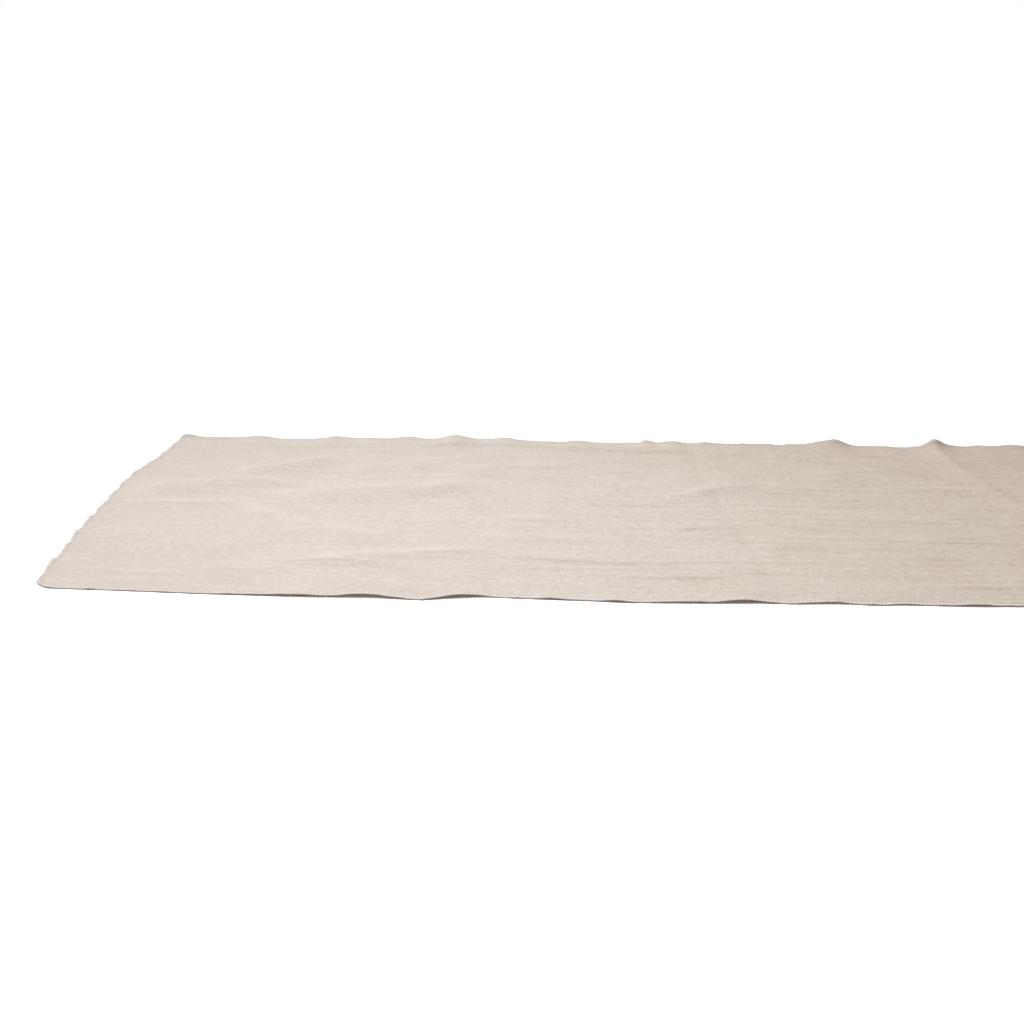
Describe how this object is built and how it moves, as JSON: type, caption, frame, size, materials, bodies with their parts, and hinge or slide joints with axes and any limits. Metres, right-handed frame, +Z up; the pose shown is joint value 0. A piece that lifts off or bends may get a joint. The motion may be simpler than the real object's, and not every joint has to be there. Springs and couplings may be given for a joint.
{
  "type": "table runner",
  "caption": "Long flat cloth of washed woven linen with bowed ends, rounded corners and a narrow overlocked edge, laid along the middle of a table.",
  "frame": {"origin": "middle of the underside, where the cloth lies on the table", "axes": "+X along the runner's length, +Y across its width, +Z up through its thickness"},
  "size_m": [1.8292, 0.4576, 0.001],
  "materials": {
    "linen_cloth": "washed undyed plain-weave linen, matt",
    "overlock_thread": "matching spun thread, matt"
  },
  "bodies": {
    "root": {"cloth_panel": "linen_cloth", "needle_thread": "overlock_thread", "upper_looper_thread": "overlock_thread", "lower_looper_thread": "overlock_thread", "thread_tail": "overlock_thread"}
  },
  "joints": []
}
